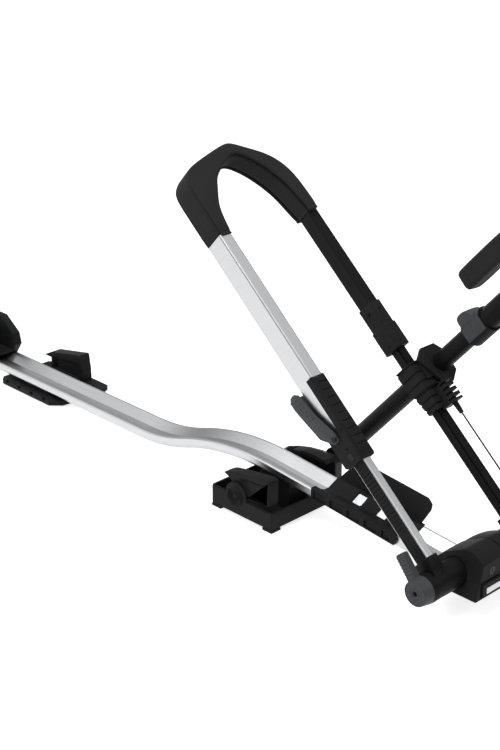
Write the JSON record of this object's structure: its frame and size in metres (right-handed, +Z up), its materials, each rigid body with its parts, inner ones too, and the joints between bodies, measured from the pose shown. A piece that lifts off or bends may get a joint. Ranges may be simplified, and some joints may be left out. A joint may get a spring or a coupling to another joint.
{
  "type": "roof mounted bike carrier",
  "caption": "Upright roof carrier: bent aluminium wheel tray on two bar feet, a ratcheting padded hook arm and a crossing padded front arm that fold flat.",
  "frame": {"origin": "centre of the front foot's middle sole, in the plane of all soles", "axes": "+X to the front of the car, along the tray; +Y to the side of the round arm; +Z up"},
  "size_m": [1.7167, 0.3283, 0.7237],
  "materials": {
    "satin_aluminium": "satin anodised, brushed along its length",
    "black_aluminium": "black satin powder coat",
    "black_plastic": "fine textured black moulding",
    "grey_plastic": "satin dark grey moulding",
    "black_rubber": "soft matte black",
    "bright_steel": "zinc plated"
  },
  "bodies": {
    "carrier_base": {"wheel_tray": "satin_aluminium", "tray_rear_cap": "black_plastic", "base_housing": "black_plastic", "front_cover": "black_plastic", "bare_plate": "satin_aluminium", "wheel_cradle": "black_plastic", "cradle_rail": "black_plastic", "front_foot_shell": "black_plastic", "front_soles": "black_rubber", "jaw_pin": "bright_steel", "arm_bracket": "black_plastic", "arm_pivot_pin": "bright_steel"},
    "hook_arm": {"arm_barrel": "black_aluminium", "pivot_shaft": "bright_steel", "pivot_bushes": "black_plastic", "near_lower_bar": "satin_aluminium", "ratchet_rack": "black_plastic", "far_lower_bar": "black_aluminium", "arm_clamp": "black_plastic", "cable_block": "black_plastic", "latch_plate_near": "black_plastic", "cable_boot": "black_rubber", "release_cable": "bright_steel"},
    "hook_slider": {"near_upper_tube": "satin_aluminium", "far_upper_tube": "black_aluminium", "far_collar": "black_plastic", "hook_bow": "black_plastic", "hook_pad": "black_rubber", "ratchet_body": "black_plastic", "ratchet_grip": "black_plastic", "slide_bush": "black_plastic", "lever_screws": "bright_steel"},
    "squeeze_lever": {"release_lever": "grey_plastic"},
    "pawl": {"ratchet_pawl": "bright_steel"},
    "locking_knob": {"lock_knob": "grey_plastic"},
    "key_lock": {"lock_cylinder": "bright_steel"},
    "foot_jaw": {"front_jaw": "black_plastic"},
    "rear_foot": {"rear_foot_plate": "black_plastic", "rear_foot_slide": "black_plastic", "rear_soles": "black_rubber"},
    "foot_claw": {"rear_claw": "black_plastic", "claw_rivets": "bright_steel"},
    "front_arm": {"front_arm_tube": "black_aluminium", "front_arm_eye": "black_aluminium", "arm_block": "black_plastic", "latch_plate_far": "black_plastic"},
    "front_hook": {"front_hook_tube": "black_aluminium", "clamp_collar": "grey_plastic", "clamp_lever_pin": "bright_steel", "front_hook_bow": "black_plastic", "front_hook_pad": "black_rubber"},
    "tube_clamp_lever": {"clamp_lever": "grey_plastic"},
    "rear_holder": {"rear_wheel_holder": "black_plastic", "wheel_strap": "black_rubber", "strap_buckle": "black_plastic", "buckle_pin": "bright_steel"},
    "strap_lever": {"buckle_lever": "grey_plastic"}
  },
  "joints": [
    {"name": "hook_arm_fold", "type": "hinge", "parent": "carrier_base", "child": "hook_arm", "pos_m": [0.466, 0, 0.069], "axis": [0, 1, 0], "range_deg": [-37, 0]},
    {"name": "front_arm_fold", "type": "hinge", "parent": "carrier_base", "child": "front_arm", "pos_m": [0.019, 0.146, 0.06], "axis": [0, 1, 0], "range_deg": [0, 45]},
    {"name": "hook_reach_slide", "type": "slide", "parent": "hook_arm", "child": "hook_slider", "axis": [-0.7478, 0, 0.6639], "range_m": [-0.015, 0.12]},
    {"name": "release_lever_squeeze", "type": "hinge", "parent": "hook_slider", "child": "squeeze_lever", "pos_m": [0.25741, -0.111, 0.26784], "axis": [0, 1, 0], "range_deg": [0, 9], "stiffness_Nm_per_rad": 1, "springref_deg": -8.59},
    {"name": "pawl_lift", "type": "slide", "parent": "hook_slider", "child": "pawl", "axis": [0, -1, 0], "range_m": [0, 0.0015]},
    {"name": "locking_knob_turn", "type": "hinge", "parent": "hook_arm", "child": "locking_knob", "pos_m": [0.466, -0.147, 0.069], "axis": [0, 1, 0], "range_deg": [0, 60]},
    {"name": "key_turn", "type": "hinge", "parent": "carrier_base", "child": "key_lock", "pos_m": [0.521, -0.025, 0.083], "axis": [1, 0, 0], "range_deg": [0, 90]},
    {"name": "front_jaw_open", "type": "hinge", "parent": "carrier_base", "child": "foot_jaw", "pos_m": [-0.02, -0.077, 0.043], "axis": [0, 1, 0], "range_deg": [0, 14]},
    {"name": "rear_foot_slide_along", "type": "slide", "parent": "carrier_base", "child": "rear_foot", "axis": [1, 0, 0], "range_m": [-0.06, 0.06]},
    {"name": "claw_tighten", "type": "slide", "parent": "rear_foot", "child": "foot_claw", "axis": [1, 0, 0], "range_m": [0, 0.016]},
    {"name": "front_hook_slide", "type": "slide", "parent": "front_arm", "child": "front_hook", "axis": [0.6652, 0, 0.7466], "range_m": [-0.04, 0.08]},
    {"name": "clamp_lever_open", "type": "hinge", "parent": "front_hook", "child": "tube_clamp_lever", "pos_m": [0.30519, 0.146, 0.42781], "axis": [0, 1, 0], "range_deg": [-70, 0]},
    {"name": "rear_holder_slide", "type": "slide", "parent": "carrier_base", "child": "rear_holder", "axis": [1, 0, 0], "range_m": [-0.06, 0.15]},
    {"name": "strap_lever_open", "type": "hinge", "parent": "rear_holder", "child": "strap_lever", "pos_m": [-0.961, -0.042, 0.1386], "axis": [1, 0, 0], "range_deg": [0, 60]}
  ],
  "couplings": [
    {"joint": "front_arm_fold", "follows": "hook_arm_fold", "ratio": -1.21},
    {"joint": "pawl_lift", "follows": "release_lever_squeeze", "m_per_rad": 0.0095}
  ]
}
